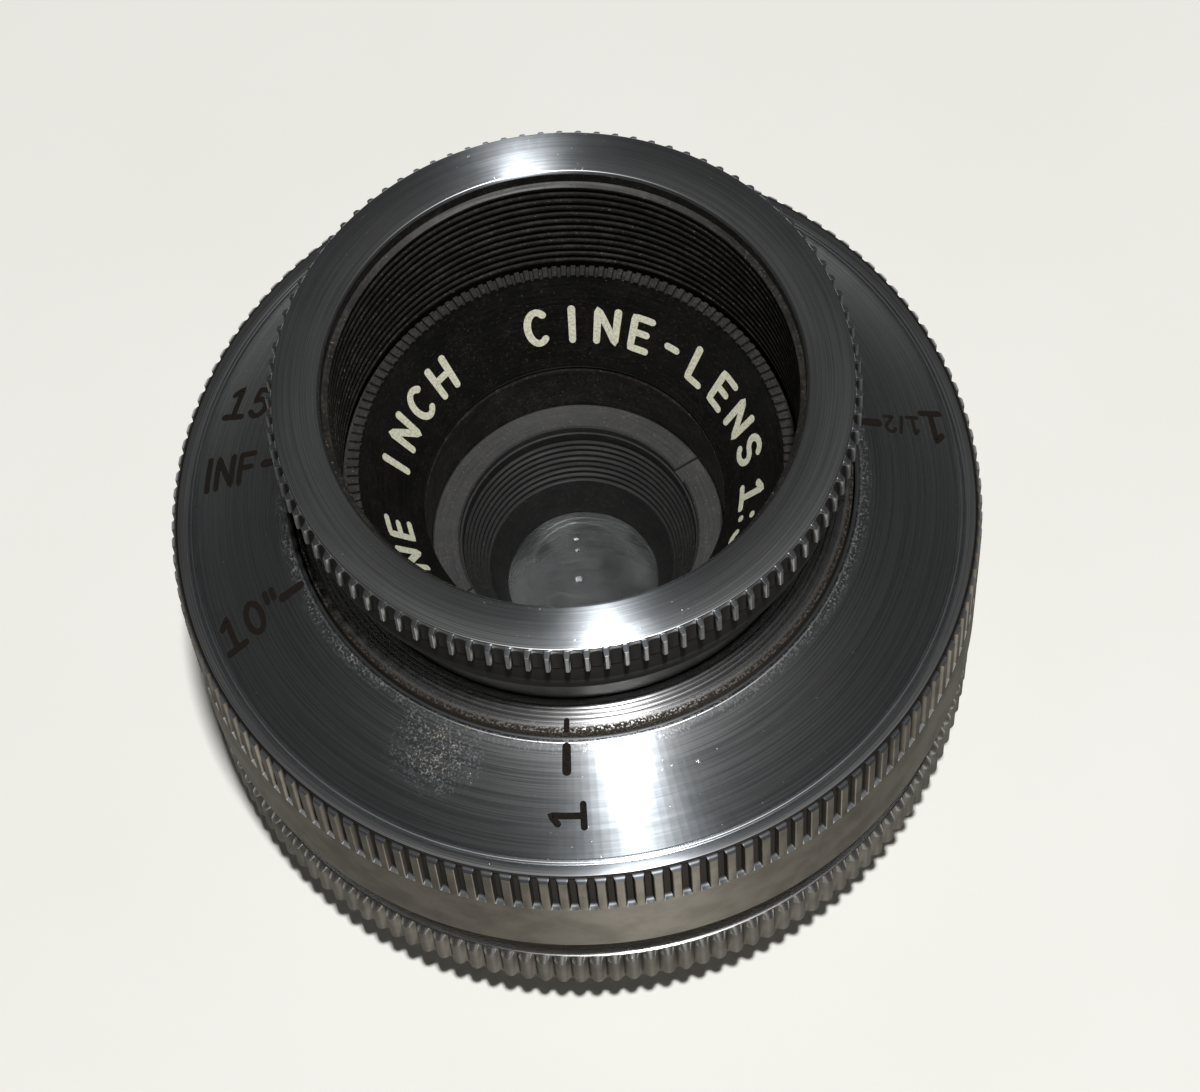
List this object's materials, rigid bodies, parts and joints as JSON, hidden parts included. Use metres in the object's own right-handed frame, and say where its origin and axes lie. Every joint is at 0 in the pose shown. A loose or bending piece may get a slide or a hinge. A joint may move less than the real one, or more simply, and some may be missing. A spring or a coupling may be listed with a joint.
{
  "type": "prime camera lens",
  "caption": "Small all-metal prime lens with a knurled front aperture ring, an engraved conical focus ring, a helical focusing barrel and a threaded rear mount.",
  "frame": {"origin": "on the optical axis, at the rear end of the mount thread", "axes": "+Z along the optical axis towards the front of the lens, index line towards -Y"},
  "size_m": [0.0381, 0.038, 0.0297],
  "materials": {
    "rear_metal": "knurled and turned, worn satin",
    "barrel_metal": "turned, fine circular tool marks",
    "ring_metal": "turned, fine circular tool marks, oxidised near the neck",
    "hood_metal": "turned satin face, black thread inside",
    "name_ring_black": "semi-gloss black",
    "black_anodised": "matt black",
    "grey_anodised": "dark grey satin",
    "lens_glass": "polished, uncoated",
    "bronze": "turned",
    "steel_small": "plain",
    "blade_steel": "blued"
  },
  "bodies": {
    "mount": {"mount_body": "rear_metal", "helix_sleeve": "bronze", "guide_key": "steel_small"},
    "barrel": {"barrel": "barrel_metal", "focus_stop_pin": "steel_small", "optics_cell": "black_anodised", "front_baffle": "black_anodised", "front_retaining_ring": "grey_anodised", "front_element": "lens_glass", "element_spacer": "black_anodised", "middle_element": "lens_glass", "name_ring": "name_ring_black", "iris_base_plate": "black_anodised", "iris_plate_screws": "steel_small", "rear_cell": "black_anodised", "rear_crown_element": "lens_glass", "rear_flint_element": "lens_glass", "rear_retaining_ring": "black_anodised"},
    "focus_ring": {"focus_ring": "ring_metal", "focus_keeper_ring": "barrel_metal", "focus_thrust_washer": "bronze"},
    "aperture_ring": {"aperture_ring": "hood_metal", "aperture_drive_pins": "steel_small", "iris_drive_sleeve": "black_anodised"},
    "blade_1": {"iris_blade_1": "blade_steel"},
    "blade_2": {"iris_blade_2": "blade_steel"},
    "blade_3": {"iris_blade_3": "blade_steel"},
    "blade_4": {"iris_blade_4": "blade_steel"},
    "blade_5": {"iris_blade_5": "blade_steel"},
    "blade_6": {"iris_blade_6": "blade_steel"}
  },
  "joints": [
    {"name": "focus_travel", "type": "slide", "parent": "mount", "child": "barrel", "axis": [0, 0, 1], "range_m": [-0.00235, 0.0006]},
    {"name": "focus_turn", "type": "hinge", "parent": "barrel", "child": "focus_ring", "pos_m": [0, 0, 0.0138], "axis": [0, 0, 1], "range_deg": [-266, 66]},
    {"name": "aperture_turn", "type": "hinge", "parent": "barrel", "child": "aperture_ring", "pos_m": [0, 0, 0.0238], "axis": [0, 0, 1], "range_deg": [0, 48]},
    {"name": "blade_1_turn", "type": "hinge", "parent": "barrel", "child": "blade_1", "pos_m": [0.0067, 0, 0.0057], "axis": [0, 0, 1], "range_deg": [0, 24]},
    {"name": "blade_2_turn", "type": "hinge", "parent": "barrel", "child": "blade_2", "pos_m": [0.00335, 0.0058, 0.0057], "axis": [0, 0, 1], "range_deg": [0, 24]},
    {"name": "blade_3_turn", "type": "hinge", "parent": "barrel", "child": "blade_3", "pos_m": [-0.00335, 0.0058, 0.0057], "axis": [0, 0, 1], "range_deg": [0, 24]},
    {"name": "blade_4_turn", "type": "hinge", "parent": "barrel", "child": "blade_4", "pos_m": [-0.0067, 0, 0.0057], "axis": [0, 0, 1], "range_deg": [0, 24]},
    {"name": "blade_5_turn", "type": "hinge", "parent": "barrel", "child": "blade_5", "pos_m": [-0.00335, -0.0058, 0.0057], "axis": [0, 0, 1], "range_deg": [0, 24]},
    {"name": "blade_6_turn", "type": "hinge", "parent": "barrel", "child": "blade_6", "pos_m": [0.00335, -0.0058, 0.0057], "axis": [0, 0, 1], "range_deg": [0, 24]}
  ],
  "couplings": [
    {"joint": "focus_travel", "follows": "focus_turn", "m_per_rad": 0.00050532},
    {"joint": "blade_1_turn", "follows": "aperture_turn", "ratio": 0.5},
    {"joint": "blade_2_turn", "follows": "aperture_turn", "ratio": 0.5},
    {"joint": "blade_3_turn", "follows": "aperture_turn", "ratio": 0.5},
    {"joint": "blade_4_turn", "follows": "aperture_turn", "ratio": 0.5},
    {"joint": "blade_5_turn", "follows": "aperture_turn", "ratio": 0.5},
    {"joint": "blade_6_turn", "follows": "aperture_turn", "ratio": 0.5}
  ]
}
